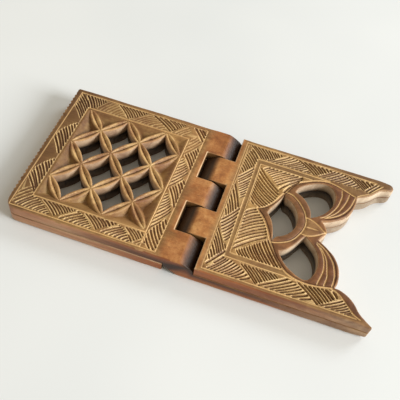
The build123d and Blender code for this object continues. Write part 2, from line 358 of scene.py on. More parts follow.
def panel_carving():
    c = Carving()
    F = lambda poly, *keys, **kw: fan(c, poly, *keys, **kw)
    # far border
    F([(-164.2, 77.2), (-164.2, 58.0), (-150.2, 41.0), (-150.0, 59.8), (-160.5, 77.2)],
      (-164.6, 59.0, -150.0, 41.8), (-163.8, 69.0, -149.6, 53.0), (-162.6, 75.6, -150.0, 60.8), bulge=0.7, pitch=2.7)
    F([(-161.5, 77.2), (-149.6, 60.2), (-143.5, 60.2), (-133.2, 77.2)],
      (-162.6, 76.8, -149.8, 61.0), (-151.0, 77.6, -142.2, 64.6), (-139.0, 77.4, -135.6, 72.4), pitch=2.8, bulge=0.7)
    F([(-143.0, 60.4), (-106.6, 60.4), (-122.2, 76.4), (-132.6, 76.8)],
      (-140.0, 61.0, -131.5, 75.2), (-128.0, 61.0, -118.6, 75.0), (-113.0, 61.0, -108.0, 65.0), bulge=0.6, depth=0.16, pitch=3.2)
    F([(-122.6, 77.3), (-106.0, 61.2), (-97.0, 67.6), (-87.6, 77.3)],
      (-122.4, 77.2, -106.2, 62.0), (-104.0, 77.2, -95.6, 69.2), (-92.6, 77.2, -90.0, 74.6), pitch=2.7, bulge=1.0)
    F([(-105.0, 60.4), (-59.6, 60.4), (-72.0, 71.0), (-86.0, 77.2), (-96.0, 67.0)],
      (-103.4, 60.8, -86.8, 76.6), (-84.0, 60.6, -72.0, 70.0), (-68.0, 60.6, -62.0, 64.0), bulge=0.8, depth=0.34, pitch=2.8)
    F([(-84.6, 77.3), (-59.4, 61.0), (-53.0, 67.4), (-44.6, 77.3)],
      (-84.0, 77.6, -59.4, 62.0), (-66.0, 77.2, -53.2, 68.0), (-49.6, 77.2, -46.8, 74.8), pitch=2.6, bulge=1.0)
    F([(-58.0, 60.4), (-38.2, 60.4), (-38.2, 70.0), (-43.6, 76.8), (-52.0, 66.6)],
      (-57.0, 61.0, -44.0, 76.0), (-46.0, 61.0, -38.4, 69.0), bulge=0.6, depth=0.5, pitch=2.8)
    # border by the hinge
    F([(-43.0, 77.3), (-23.2, 77.3), (-23.2, 60.5), (-37.2, 69.0)],
      (-37.6, 77.6, -23.0, 60.4), (-30.0, 78.0, -23.0, 70.0), pitch=2.7, bulge=0.5)
    F([(-37.2, 60.0), (-37.2, 37.0), (-30.5, 44.5), (-26.5, 51.5), (-23.4, 59.6), (-36.0, 69.0)],
      (-37.4, 38.4, -23.4, 60.0), (-37.4, 55.0, -30.0, 66.0), bulge=-0.6, depth=0.42, pitch=2.8)
    F([(-37.2, 36.4), (-29.6, 28.4), (-23.2, 16.6), (-23.2, 58.8), (-27.0, 50.0), (-31.4, 43.2)],
      (-37.4, 36.4, -23.0, 16.2), (-31.6, 43.2, -23.0, 30.2), (-26.6, 51.0, -23.0, 45.0), pitch=2.65, bulge=0.8)
    F([(-37.2, -6.6), (-29.5, 3.0), (-23.4, 15.6), (-30.2, 27.4), (-37.2, 35.2)],
      (-37.4, -5.8, -23.2, 15.8), (-37.4, 14.0, -27.6, 28.0), (-37.4, 28.0, -33.4, 33.0), bulge=-0.7, depth=0.85)
    F([(-37.2, -8.6), (-29.4, -19.0), (-23.2, -33.6), (-23.2, 14.2), (-27.4, 4.6), (-31.8, -2.2)],
      (-37.4, -8.8, -23.0, -34.0), (-31.8, -2.0, -23.0, -18.0), (-26.4, 6.4, -23.0, 0.4), pitch=2.65, bulge=0.8)
    F([(-37.2, -57.4), (-29.5, -46.6), (-23.6, -34.6), (-29.8, -20.6), (-37.2, -10.4)],
      (-37.4, -56.8, -23.2, -34.6), (-37.4, -36.0, -27.0, -20.6), (-37.4, -18.0, -33.0, -12.0), bulge=-0.8, depth=0.95)
    F([(-36.7, -60.0), (-36.7, -73.0), (-31.0, -78.4), (-23.2, -78.6), (-23.2, -36.0), (-27.2, -44.0), (-32.0, -51.6)],
      (-36.9, -71.6, -31.6, -78.6), (-36.9, -62.2, -24.4, -79.0), (-32.0, -51.0, -22.8, -67.0), (-26.6, -42.4, -23.0, -49.0),
      pitch=2.65, bulge=-0.7)
    cut_line(c, [(-37.5, -62.9), (-37.4, -78.8)], 0.7, 0.7)
    # near border
    F([(-163.4, -78.2), (-163.4, -56.0), (-150.2, -48.0), (-150.0, -63.0)],
      (-163.6, -76.6, -149.6, -60.6), (-164.0, -66.0, -149.4, -50.0), bulge=0.5, depth=0.55, pitch=3.0)
    F([(-162.0, -78.4), (-149.4, -63.6), (-144.6, -63.8), (-134.0, -69.6), (-123.4, -78.4)],
      (-160.4, -78.8, -148.4, -63.6), (-143.0, -79.0, -133.8, -69.4), (-130.0, -78.8, -127.0, -76.0), bulge=0.9, depth=0.95)
    for x0, x1, x2 in ((-143.4, -122.6, -103.6), (-101.6, -81.8, -63.4)):
        w = x2 - x1
        F([(x0, -63.4), (x0 + 0.55 * (x1 - x0), -69.0), (x1, -78.6), (x1 + 0.5 * w, -71.0), (x2, -63.4)],
          (x0, -63.2, x1, -78.8), (x0 + 0.5 * (x2 - x0), -63.2, x1 + 0.5 * w, -71.2),
          (x2 - 5.0, -63.2, x2 - 2.6, -65.4), pitch=2.6, bulge=1.0)
    for x0, x1, x2 in ((-121.8, -102.6, -82.8), (-81.0, -62.2, -46.4)):
        F([(x0, -78.6), (x1, -63.8), (x1 + 0.55 * (x2 - x1), -69.4), (x2, -78.6)],
          (x0, -78.8, x1, -64.4), (x0 + 0.5 * (x2 - x0), -78.8, x1 + 0.5 * (x2 - x1), -69.6),
          (x2 - 5.0, -78.8, x2 - 2.6, -76.6), pitch=2.6, bulge=0.8)
    F([(-61.4, -63.6), (-54.0, -69.0), (-46.4, -77.8), (-42.0, -73.6), (-38.7, -70.0), (-38.4, -63.6)],
      (-61.2, -63.4, -46.2, -78.0), (-55.0, -63.4, -42.2, -73.8), (-43.6, -63.4, -38.4, -69.4), pitch=2.6, bulge=0.8)
    F([(-45.4, -78.4), (-42.0, -74.8), (-38.4, -71.4), (-38.4, -78.4)], (-45.4, -79.0, -38.2, -71.8), (-41.6, -79.0, -38.2, -75.6),
      bulge=0.3, depth=0.6)
    # free-edge border
    F([(-150.0, 37.6), (-152.6, 34.8), (-157.6, 29.2), (-162.4, 22.6), (-164.3, 15.0), (-164.3, 8.0), (-150.0, -11.0)],
      (-153.6, 38.0, -149.6, 30.8), (-164.6, 17.6, -149.8, -4.8), (-165.0, 11.6, -149.8, -9.8), bulge=0.6, pitch=2.7)
    F([(-150.0, -14.2), (-152.8, -17.0), (-158.0, -22.8), (-162.6, -30.0), (-164.3, -37.0), (-164.3, -45.0), (-150.0, -61.4)],
      (-153.6, -13.6, -149.6, -20.8), (-164.6, -34.0, -149.8, -54.4), (-165.0, -42.6, -149.8, -60.4), bulge=0.6, pitch=2.7)
    # incised frames
    cut_line(c, box_line(-164.8, -79.2, -22.5, 77.8), 0.75, 0.85)
    cut_line(c, box_line(-149.4, -62.9, -37.6, 60.0), 0.8, 0.9)
    # lattice: petals, star nodes and closed half cells
    fx0, fx1, fy0, fy1 = -147.6, -39.4, -61.2, 58.2
    w = window(fx0, fx1, fy0, fy1)
    px, py = GX[w], GY[w]
    lens = np.full(px.shape, 99.0)      # distance outside the nearest petal
    prof = np.zeros(px.shape)
    rib = np.zeros(px.shape)
    for u in range(5):
        for v in range(5):
            a, b = (node(u, v), node(u + 1, v + 1)) if (u + v) % 2 == 0 else (node(u, v + 1), node(u + 1, v))
            d = b - a
            length = np.hypot(*d)
            ux, uy = d / length
            s = (px - a[0]) * ux + (py - a[1]) * uy
            n = -(px - a[0]) * uy + (py - a[1]) * ux
            t = np.clip(s / length, 0, 1)
            half = 1.3 + (LENS - 1.3 + 0.2) * np.sin(np.pi * t) ** 0.8
            over = np.maximum(0, np.abs(s - length / 2) - length / 2)
            out = np.hypot(np.maximum(np.abs(n) - half, 0), over)
            out = np.where((np.abs(n) < half) & (over <= 0), -(half - np.abs(n)), out)
            hit = out < lens
            vein = np.clip(1 - np.abs(n) / (2.9 * np.clip(np.sin(np.pi * t), 0, 1) ** 0.8 + 1e-3), 0, 1)
            facet = (np.clip(np.abs(n) / half, 0, 1) ** 5.0) * 1.3 * np.sin(np.pi * t) ** 0.6
            p = 2.5 * vein ** 1.25 * np.sin(np.pi * t) ** 0.6 + facet
            prof = np.where(hit & (out < 0), p, prof)
            rib = np.where(hit & (out < 0), vein * np.sin(np.pi * t) ** 0.4, rib)
            lens = np.where(hit, out, lens)
    edge = np.minimum.reduce([px - fx0, fx1 - px, py - fy0, fy1 - py])
    cell = np.minimum.reduce([0.62 * np.maximum(edge - 0.3, 0), 1.3 + 1.7 * np.maximum(lens, 0),
                              np.full(px.shape, 6.4)])
    field = np.where(lens <= 0, prof, cell)
    field = np.where(edge > 0, field, 0)
    inner = c.h[w]
    c.h[w] = np.where(edge > 0.2, np.maximum(field, inner * (edge < 1.2)), inner)
    c.vein[w] = np.where(edge > 0.3, rib, 0)
    c.petal[w] = np.where(edge > 0.3, np.clip(0.5 - lens / 0.8, 0, 1), 0)
    return c


def leg_carving():
    c = Carving()
    F = lambda poly, *keys, **kw: fan(c, poly, *keys, **kw)
    # border by the hinge
    r0 = [(22.2, 31.9), (25.1, 36.9), (28.3, 41.3), (32.0, 46.3), (34.5, 50.6), (35.6, 57.5)]
    f1 = [(22.0, 30.2), (24.5, 23.8), (27.6, 16.3), (30.8, 8.1), (34.2, 0.4)]
    r1 = [(21.4, -22.4), (24.5, -18.1), (27.6, -14.4), (30.8, -9.4), (33.3, -5.0), (35.2, -0.8)]
    f2 = [(21.4, -25.4), (23.9, -33.4), (27.6, -40.2), (31.4, -46.0), (35.0, -51.0)]
    r2 = [(21.4, -76.3), (22.6, -71.3), (25.1, -67.5), (27.6, -63.8), (30.8, -60.0), (33.9, -55.6), (35.3, -52.4)]
    F([(23.4, 78.0), (36.0, 62.4)] + r0[::-1] + [(22.2, 70.0)],
      (27.6, 71.0, 36.4, 60.0), (24.2, 62.0, 35.0, 49.0), (21.6, 46.0, 27.0, 38.4), bulge=0.5, pitch=2.7)
    F(r0 + [(35.6, 1.0)] + f1[::-1], (22.2, 30.6, 35.8, 49.0), (26.6, 20.0, 36.0, 32.0), (31.6, 8.0, 36.0, 13.0), bulge=-0.6, pitch=2.6)
    F(f1 + r1[::-1], (22.0, 30.0, 34.6, -1.0), (21.0, 10.0, 29.4, -9.6), (20.8, -8.0, 24.4, -17.0), bulge=0.5, pitch=2.5)
    F(r1 + [(35.2, -50.0)] + f2[::-1], (21.4, -24.0, 35.4, -3.4), (25.0, -34.0, 35.4, -19.0), (31.0, -45.0, 35.4, -38.0), bulge=-0.7, pitch=2.6)
    F(f2 + r2[::-1], (21.4, -28.0, 34.6, -52.4), (20.8, -46.0, 29.2, -61.4), (20.6, -62.0, 24.2, -68.6), bulge=0.5, pitch=2.5)
    F(r2 + [(36.0, -60.0), (36.6, -62.0), (22.0, -78.4)], (21.6, -74.6, 35.6, -54.0), (22.0, -78.0, 36.6, -60.6), bulge=-0.4, pitch=2.5)
    # near border
    f0 = [(44.4, -62.0), (52.0, -65.6), (58.3, -69.4), (63.9, -73.1), (69.0, -78.4)]
    r0 = [(69.6, -78.4), (75.8, -73.8), (80.8, -70.0), (85.8, -66.9), (90.1, -63.8), (93.6, -61.6)]
    f1 = [(94.2, -61.6), (99.4, -62.9), (104.4, -64.9), (109.4, -67.5), (114.4, -70.0), (118.8, -72.8), (121.9, -75.6), (125.0, -78.4)]
    r1 = [(125.6, -78.4), (130.6, -75.0), (135.0, -71.9), (139.4, -67.8), (144.2, -63.6)]
    F([(21.8, -78.4), (36.6, -61.8)] + f0, (22.6, -76.4, 35.6, -61.6), (27.5, -78.6, 41.2, -61.8), (37.0, -78.6, 49.8, -64.2),
      (47.0, -77.8, 56.6, -69.2), (55.0, -78.2, 62.6, -74.0), pitch=2.55, bulge=-0.7, depth=1.4)
    F(f0 + r0, (50.4, -61.6, 69.2, -77.6), (62.0, -61.8, 75.4, -74.8), (70.8, -61.8, 81.6, -70.2), (80.6, -61.6, 87.0, -66.0),
      pitch=2.5, bulge=0.7, depth=1.4)
    F(r0 + f1, (72.4, -77.6, 96.2, -62.0), (82.0, -78.0, 103.8, -64.8), (95.5, -78.4, 112.4, -69.4), (108.0, -78.4, 119.8, -73.8),
      pitch=2.5, bulge=-0.3, depth=1.4)
    F(f1 + r1 + [(141.0, -61.0), (137.0, -59.2), (128.0, -59.8), (112.0, -62.2)],
      (106.0, -63.4, 124.8, -77.4), (115.0, -62.6, 130.4, -75.4), (122.4, -61.8, 134.4, -72.2), (130.0, -60.8, 138.8, -68.4),
      (136.5, -60.8, 141.2, -66.4), pitch=2.6, bulge=0.4, depth=1.4)
    F(r1 + [(148.4, -67.0), (152.5, -71.2), (157.0, -76.4), (159.0, -78.4)],
      (127.6, -77.4, 147.4, -65.2), (138.5, -76.8, 151.8, -68.4), (146.0, -77.6, 155.2, -71.6), (152.0, -78.2, 157.8, -75.0),
      pitch=2.4, bulge=-0.5, depth=1.4)
    # far border
    r0 = [(43.6, 62.6), (49.5, 66.9), (54.5, 70.0), (58.3, 73.0), (61.6, 76.8)]
    f1 = [(73.6, 77.0), (80.8, 73.0), (85.8, 69.4), (90.1, 65.6), (94.6, 62.6)]
    r1 = [(96.4, 62.8), (101.9, 66.9), (107.5, 71.3), (113.4, 76.2)]
    f2 = [(124.6, 76.0), (130.6, 73.0), (135.6, 70.0), (140.0, 66.9), (144.4, 62.8)]
    r2 = [(146.0, 62.8), (150.0, 68.2), (153.1, 71.8), (156.6, 75.6)]
    F([(23.6, 78.0), (37.0, 62.6)] + r0, (25.0, 76.6, 38.8, 63.0), (42.0, 77.6, 50.6, 66.6), (55.0, 77.4, 58.0, 73.4), pitch=2.7, bulge=0.7)
    F(r0 + f1, (45.0, 62.8, 62.0, 76.6), (65.0, 62.6, 80.0, 73.6), (86.0, 62.6, 91.0, 66.2), pitch=2.7, bulge=-0.4)
    F(f1 + r1[::-1][:0] + r1, (75.0, 77.0, 95.4, 62.6), (94.0, 77.0, 103.0, 68.2), (107.0, 76.6, 110.0, 74.0), pitch=2.6, bulge=0.9)
    F(r1 + f2 + [(128.0, 62.6), (112.0, 62.4)], (97.6, 62.6, 115.0, 76.6), (115.0, 62.4, 128.6, 74.2), (136.0, 62.0, 141.6, 66.4), pitch=2.7, bulge=-0.4)
    F(f2 + r2, (126.0, 76.6, 145.6, 62.8), (139.0, 76.4, 149.4, 68.0), (149.6, 76.0, 153.4, 72.6), pitch=2.6, bulge=0.8)
    F(r2 + [(163.0, 75.4), (158.6, 69.0), (153.6, 63.4), (148.6, 59.6)], (147.0, 61.4, 157.6, 75.4), (154.6, 62.4, 163.6, 74.0), bulge=0.3)
    # fans inside the strip
    tref_up = [(72.9, 32.8), (74.5, 36.9), (77.0, 41.9), (80.1, 45.6), (83.9, 48.8), (88.9, 51.9), (93.6, 54.6)]
    tref_lo = [(72.0, -31.9), (75.8, -38.8), (79.5, -44.4), (83.9, -49.4), (88.0, -53.6)]
    F([(41.0, 55.6), (41.4, 52.6), (55.6, 42.0), (67.4, 27.6), (70.9, 29.2)] + tref_up + [(93.4, 55.8)],
      (44.0, 49.6, 51.0, 55.8), (53.0, 43.6, 68.0, 56.0), (61.0, 36.2, 85.0, 56.0), (69.4, 28.4, 80.0, 46.6), pitch=2.75, bulge=0.9, depth=1.25)
    F([(40.5, 52.4), (55.0, 41.2), (66.8, 27.0), (66.2, 19.4), (63.1, 13.8), (59.3, 8.8), (55.6, 5.2), (50.4, 2.4), (43.0, 6.0), (40.5, 12.0)],
      (40.4, 52.6, 68.4, 26.4), (40.2, 38.0, 67.0, 18.0), (40.2, 25.0, 61.0, 8.4), (40.2, 12.0, 52.0, 1.6), pitch=2.75, bulge=-1.7)
    F([(40.4, -51.6), (55.0, -38.6), (67.4, -27.4), (67.6, -23.0), (64.4, -16.6), (60.7, -10.3), (56.9, -5.6), (53.1, -2.1), (49.4, 1.6), (44.0, -0.4), (40.4, -5.0)],
      (40.4, -49.8, 68.4, -26.0), (40.2, -39.0, 67.4, -19.4), (40.2, -24.0, 61.4, -8.4), (40.4, -8.0, 52.0, 0.6), pitch=3.0, bulge=1.5, depth=0.95)
    F([(41.6, -52.0), (55.0, -40.2), (68.6, -28.4)] + tref_lo + [(88.0, -55.0), (41.0, -55.0)],
      (43.4, -49.0, 50.0, -55.6), (53.0, -39.6, 65.6, -55.8), (61.0, -33.6, 79.0, -56.0), (68.4, -28.6, 89.4, -56.0), pitch=2.75, bulge=-1.2, depth=1.3)
    # frame lines and the plain strip
    cut_line(c, [(158.0, 77.0), (22.0, 78.6), (20.6, 78.6), (20.6, -79.3), (160.0, -79.3)], 0.7, 0.8)
    cut_line(c, [(22.6, 76.0), (22.4, -30.0)], 0.55, 0.45)
    top_in = np.interp(GX, [92.0, 98.0, 105.0, 112.0], [56.2, 58.0, 60.2, 61.4])
    low_in = np.interp(GX, [86.0, 93.3, 100.0, 106.0], [-55.2, -58.4, -60.4, -61.4])
    strip = (((GX > 35.8) & (GX < 39.8) & (GY > -60.6) & (GY < 61.6))
             | ((GX > 39.0) & (GX < 110.0) & (GY > top_in) & (GY < 61.6))
             | ((GX > 39.0) & (GX < 104.0) & (GY > -60.6) & (GY < low_in)))
    c.h += blur(strip.astype(float), 0.5) * 0.45
    cut_line(c, [(112.0, 61.0), (92.0, 61.4), (36.0, 61.6), (35.9, -60.4), (89.0, -60.8), (104.0, -61.8)], 0.8, 0.8)
    cut_line(c, [(94.0, 56.2), (40.3, 56.0), (40.0, -55.0), (88.0, -55.4)], 0.8, 0.8)
    # trefoil bands
    lines = [
        [(50.5, 2.5), (52.6, 3.4), (55.8, 5.2), (59.5, 8.8), (63.3, 13.8), (66.4, 19.4), (68.6, 24.4),
         (70.6, 28.6), (72.9, 32.8), (74.5, 36.9), (77.0, 41.9), (80.1, 45.6), (83.9, 48.8), (88.9, 51.9),
         (92.6, 54.0), (98.0, 56.8), (105.0, 59.2), (112.0, 59.8), (118.0, 58.8), (124.0, 57.0),
         (130.0, 54.8), (135.0, 52.8), (139.0, 51.6)],
        [(50.5, 2.0), (53.3, -1.9), (57.0, -5.3), (60.8, -10.0), (64.5, -16.3), (67.6, -22.5), (70.1, -28.1),
         (72.0, -31.9), (75.8, -38.8), (79.5, -44.4), (83.9, -49.4), (88.3, -53.8), (93.3, -57.5),
         (100.0, -59.9), (106.0, -61.0), (112.0, -61.4), (118.0, -61.0), (124.0, -60.0), (130.0, -58.6),
         (135.4, -57.6)],
        [(72.0, 31.4), (79.5, 30.0), (83.9, 27.2), (88.3, 23.2), (92.2, 18.6), (95.4, 13.6), (97.4, 8.6),
         (98.8, 3.4), (98.8, -1.6), (97.8, -6.8), (95.8, -12.1), (92.7, -18.1), (88.9, -22.7),
         (84.5, -25.9), (79.5, -28.4), (74.5, -30.2), (71.4, -30.6)],
        [(97.4, 8.8), (101.3, 8.2), (105.6, 6.8), (109.4, 4.8), (113.1, 2.4), (116.4, -0.2), (118.6, -1.4)],
        [(97.0, -11.0), (100.6, -11.6), (105.0, -10.9), (109.4, -8.9), (113.8, -5.8), (116.6, -3.4), (118.6, -1.8)],
    ]
    for ln in lines:
        cut_line(c, smooth(ln, 4), 0.95, 1.0)
    # the stop cut along the bands, painted dark through the flute mask as shadow
    for ln, d in ((lines[0], -1.35), (lines[1], 1.35), (lines[2], -1.35)):
        cut_line(c, beside(smooth(ln, 4), d), 0.75, 0.9, taper=3.0, kind="groove")
    cut_line(c, [(100.0, -1.9), (111.0, -1.9)], 0.8, 0.8, taper=2.0)
    lobe = [
        [(124.7, 55.6), (125.9, 50.0), (126.3, 46.3), (125.6, 40.0), (124.4, 33.8), (122.5, 28.8), (120.0, 23.8),
         (116.9, 18.8), (113.8, 15.6), (110.0, 12.9)],
        [(132.8, 53.2), (132.5, 47.5), (131.3, 41.3), (129.4, 35.0), (126.9, 28.8), (123.8, 23.8), (120.0, 19.6),
         (116.0, 15.8)],
        [(139.4, 51.3), (138.4, 46.3), (137.3, 41.3), (135.8, 36.3), (133.8, 31.9), (130.8, 26.9), (127.0, 22.7),
         (123.0, 19.4), (119.4, 17.0), (113.4, 14.2)],
        [(112.2, -16.6), (115.6, -19.4), (119.4, -24.4), (121.9, -30.0), (123.4, -35.6), (124.1, -41.3),
         (123.4, -47.5), (122.2, -53.1), (120.9, -59.6)],
        [(116.0, -18.6), (118.8, -21.3), (122.5, -26.3), (125.0, -31.3), (126.3, -36.3), (127.5, -42.5),
         (128.4, -48.1), (127.8, -53.8), (127.0, -59.4)],
        [(112.6, -15.4), (116.3, -16.9), (120.0, -19.2), (124.4, -23.0), (128.1, -27.5), (131.3, -32.5), (133.4, -38.8),
         (134.7, -45.0), (134.7, -51.3), (134.1, -58.0)],
    ]
    for ln in lobe:
        cut_line(c, smooth(ln, 4), 0.8, 0.85, taper=3.0)
    # stop cuts beside two lobe lines, painted dark through the flute mask as shadow
    for ln in (lobe[2], lobe[5]):
        cut_line(c, beside(smooth(ln, 4), 1.25), 0.65, 0.7, taper=4.0, kind="groove")
    # inner line of the feet
    cut_line(c, smooth([(134.4, -58.6), (138.8, -59.8), (142.5, -61.7), (146.3, -65.2), (149.4, -68.3),
                        (152.5, -71.5), (156.3, -75.2), (159.4, -77.1), (164.0, -79.0)], 4), 0.7, 0.8)
    cut_line(c, smooth([(141.2, 53.2), (145.0, 56.2), (148.4, 58.2), (151.2, 60.4), (153.6, 62.8), (156.0, 65.6),
                        (158.6, 68.8), (161.6, 72.2), (164.0, 75.4)], 4), 0.6, 0.6)
    return c


# ---------------------------------------------------------------- shared maps
d_board = signed(board)
d_holes_leg = np.full((NX, NY), FAR)
for p in holes_leg:
    d_holes_leg = np.minimum(d_holes_leg, -signed(p))
d_holes_panel = np.full((NX, NY), FAR)
for p in holes_panel:
    d_holes_panel = np.minimum(d_holes_panel, -signed(p))
d_nick = np.full((NX, NY), FAR)
n_nick = 30
for i in range(n_nick):
    y = HW - 9.0 - (165.0 - 26.0) / (n_nick - 1) * i + rng.normal(0, 0.25)
    xe = -171.0 + (HW - y) * (1.2 / 140.0)
    d = np.hypot(GX - (xe - 0.55), GY - y) - (2.05 + rng.normal(0, 0.12))
    d_nick = np.minimum(d_nick, d)

panel_c = panel_carving()
leg_c = leg_carving()
LEFT = GX < 0


def strip_span(i):
    y0 = -HW + STRIP * i + (KERF / 2 if i > 0 else -5.0)
    y1 = -HW + STRIP * (i + 1) - (KERF / 2 if i < 4 else -5.0)
    return y0, y1


def pocket_dist(own):
    """Distance to the pockets beside this leaf's knuckles, positive in the wood."""
    d = np.full((NX, NY), FAR)
    for i in range(5):
        if i in own:
            continue
        a, b = -HW + STRIP * i - KERF / 2, -HW + STRIP * (i + 1) + KERF / 2
        cx, cy, hx, hy = 0.0, (a + b) / 2, POCKET, (b - a) / 2
        qx, qy = np.abs(GX - cx) - hx, np.abs(GY - cy) - hy
        out = np.hypot(np.maximum(qx, 0), np.maximum(qy, 0)) + np.minimum(np.maximum(qx, qy), 0)
        d = np.minimum(d, out)
    return d


BEVEL_X = np.array([-POCKET, 0.0, 2.5, 5.0, 7.5, 10.0, 12.3, 14.1, 14.3, 14.31, POCKET + 50])
BEVEL_Z = np.array([11.5, 11.5, 10.5, 9.2, 7.8, 6.1, 4.2, 2.4, 0.6, -GAP, -GAP])


def drop(d, r):
    """How far a rounded arris of radius r falls at distance d from the edge."""
    q = np.clip(r - np.clip(d, 0, None), 0, None)
    return r - np.sqrt(np.clip(r * r - q * q, 0, None))


def sample(a, x, y):
    fx = np.clip((x - XS[0]) / STEP, 0, NX - 1.001)
    fy = np.clip((y - YS[0]) / STEP, 0, NY - 1.001)
    i, j = fx.astype(int), fy.astype(int)
    tx, ty = fx - i, fy - j
    return (a[i, j] * (1 - tx) * (1 - ty) + a[i + 1, j] * tx * (1 - ty)
            + a[i, j + 1] * (1 - tx) * ty + a[i + 1, j + 1] * tx * ty)


def leaf_maps(front):
    own = (0, 2, 4) if front else (1, 3)
    # the knuckle section: along +X for the outer bevel of this leaf
    zk_hi = np.interp(GX, BEVEL_X, BEVEL_Z)          # front: full on the left, bevel to the right
    zk_lo = -np.interp(-GX, BEVEL_X, BEVEL_Z)
    if not front:
        zk_hi, zk_lo = -zk_lo[::, :], -zk_hi[::, :]
        # swap: the back leaf is full at the top on the right and at the bottom on the left
        zk_hi = np.interp(-GX, BEVEL_X, BEVEL_Z)
        zk_lo = -np.interp(GX, BEVEL_X, BEVEL_Z)
    hi = AXIS_Z + zk_hi
    lo = AXIS_Z + zk_lo
    wave = 0.12 * value_noise(34, 18, 11 if front else 12) + 0.05 * value_noise(9, 6, 13)
    d_pocket = pocket_dist(own)
    d_hole = np.where(LEFT, d_holes_panel, d_holes_leg)
    dist = np.minimum.reduce([d_board, d_hole, d_pocket, d_nick])
    rough = 1 + 0.35 * value_noise(13, 13, 17 if front else 19)
    r_board = 1.7 * rough
    for tip in ((174.5, -81.5), (174.5, 79.0)):
        r_board = r_board + 2.8 * np.exp(-(np.hypot(GX - tip[0], GY - tip[1]) / 9.0) ** 2)
    r_hole = np.where(LEFT, 0.4, 0.8)
    r_pocket = 1.0 * rough
    r_inner = 0.5
    # carved faces
    top_h = panel_c.h if front else leg_c.h
    bot_h = leg_c.h if front else panel_c.h
    top_on = LEFT if front else ~LEFT
    away = np.clip((np.abs(GX) - 16.0) / 1.0, 0, 1)
    carve_hi = np.where(top_on, top_h, 0) * away
    carve_lo = np.where(~top_on, bot_h, 0) * away
    out_hi = top_on | (np.abs(GX) < POCKET)
    out_lo = ~top_on | (np.abs(GX) < POCKET)

    def rounding(outer):
        a = drop(d_board, np.where(outer, r_board, r_inner))
        b = drop(np.minimum(d_hole, d_nick), np.where(outer, r_hole, 0.3))
        c = drop(d_pocket, np.where(outer, r_pocket, 0.4))
        return np.maximum.reduce([a, b, c])

    hi = hi - carve_hi - rounding(out_hi) + np.where(top_on, np.minimum(wave, 0), 0)
    lo = lo + carve_lo + rounding(out_lo) - np.where(~top_on, np.minimum(wave, 0), 0)
    # keep a sound web where the rounding meets from both sides
    mid = (hi + lo) / 2
    hi = np.maximum(hi, mid + 0.6)
    lo = np.minimum(lo, mid - 0.6)
    return dict(hi=hi, lo=lo, dist=dist, d_board=d_board, d_hole=d_hole, d_pocket=d_pocket,
                carve_hi=carve_hi, carve_lo=carve_lo, top_on=top_on)


# ---------------------------------------------------------------- meshing
WALL = (0.1, 0.36, 0.64, 0.9)


